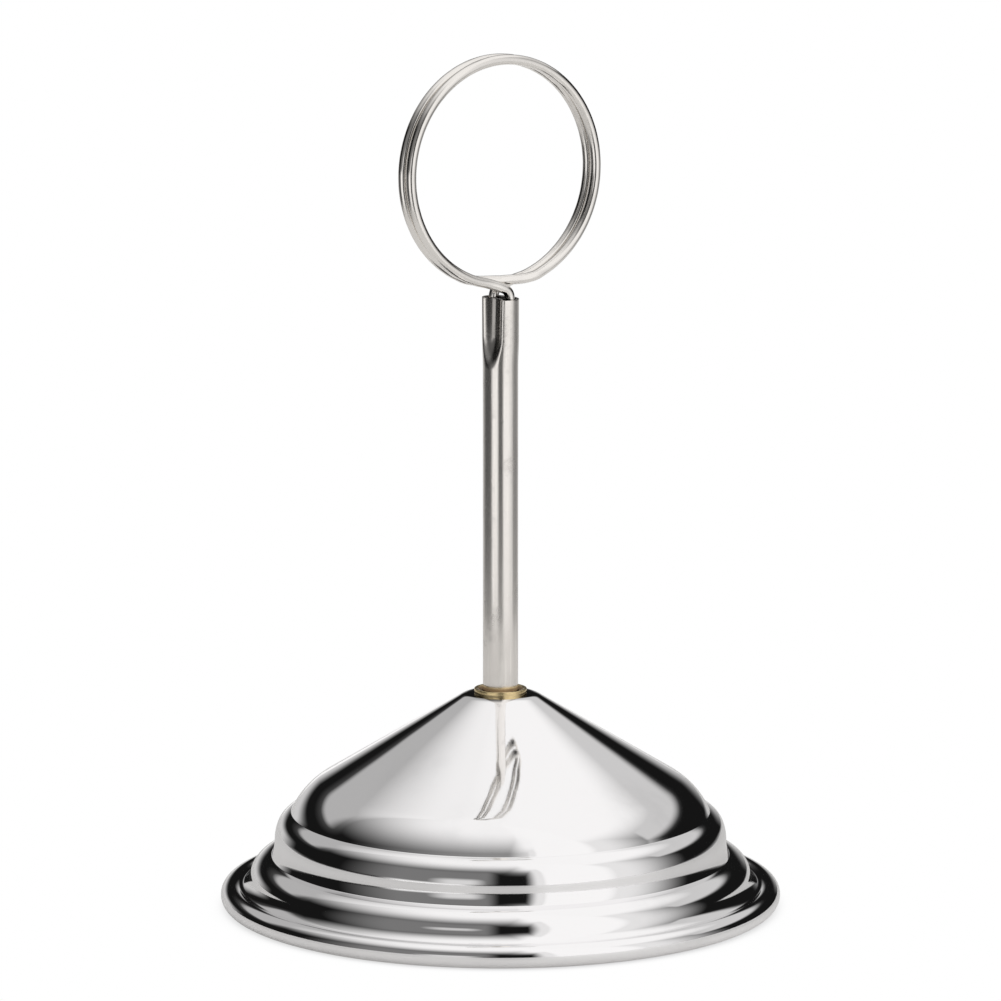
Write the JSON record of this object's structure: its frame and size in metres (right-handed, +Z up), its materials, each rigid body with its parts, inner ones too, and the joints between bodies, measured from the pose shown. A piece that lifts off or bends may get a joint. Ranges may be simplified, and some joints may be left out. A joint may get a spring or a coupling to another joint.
{
  "type": "table number holder",
  "caption": "Table card stand: a bell-shaped chrome base with a rolled rim, a tubular stem and a double-turn wire ring that clips a card.",
  "frame": {"origin": "centre of the base's rolled rim on the table, under the stem's axis", "axes": "+Z up along the stem; the ring's turns lie in planes along X, with the front turn towards -Y"},
  "size_m": [0.1016, 0.1016, 0.1544],
  "materials": {
    "base_chrome": "mirror polish",
    "bush_brass": "turned, lightly tarnished",
    "stem_steel": "satin, fine marks along the tube",
    "clip_wire": "bright nickel plate",
    "zinc_hardware": "zinc plate"
  },
  "bodies": {
    "stand": {"base_shell": "base_chrome", "stem_bush": "bush_brass", "flat_washer": "zinc_hardware", "lock_washer": "zinc_hardware", "stem_screw": "zinc_hardware", "stem_plug": "zinc_hardware", "stem_tube": "stem_steel", "clip_front_leg": "clip_wire", "clip_crossover": "clip_wire", "clip_rear_leg": "clip_wire"},
    "front_turn": {"clip_front_turn": "clip_wire"},
    "rear_turn": {"clip_rear_turn": "clip_wire"}
  },
  "joints": [
    {"name": "front_turn_spread", "type": "hinge", "parent": "stand", "child": "front_turn", "pos_m": [0, -0.00125, 0.1179], "axis": [1, 0, 0], "range_deg": [0, 2.5], "stiffness_Nm_per_rad": 0.5},
    {"name": "rear_turn_spread", "type": "hinge", "parent": "stand", "child": "rear_turn", "pos_m": [0, 0.00125, 0.1179], "axis": [1, 0, 0], "range_deg": [-2.5, 0], "stiffness_Nm_per_rad": 0.5}
  ],
  "couplings": [
    {"joint": "rear_turn_spread", "follows": "front_turn_spread", "ratio": -1}
  ]
}
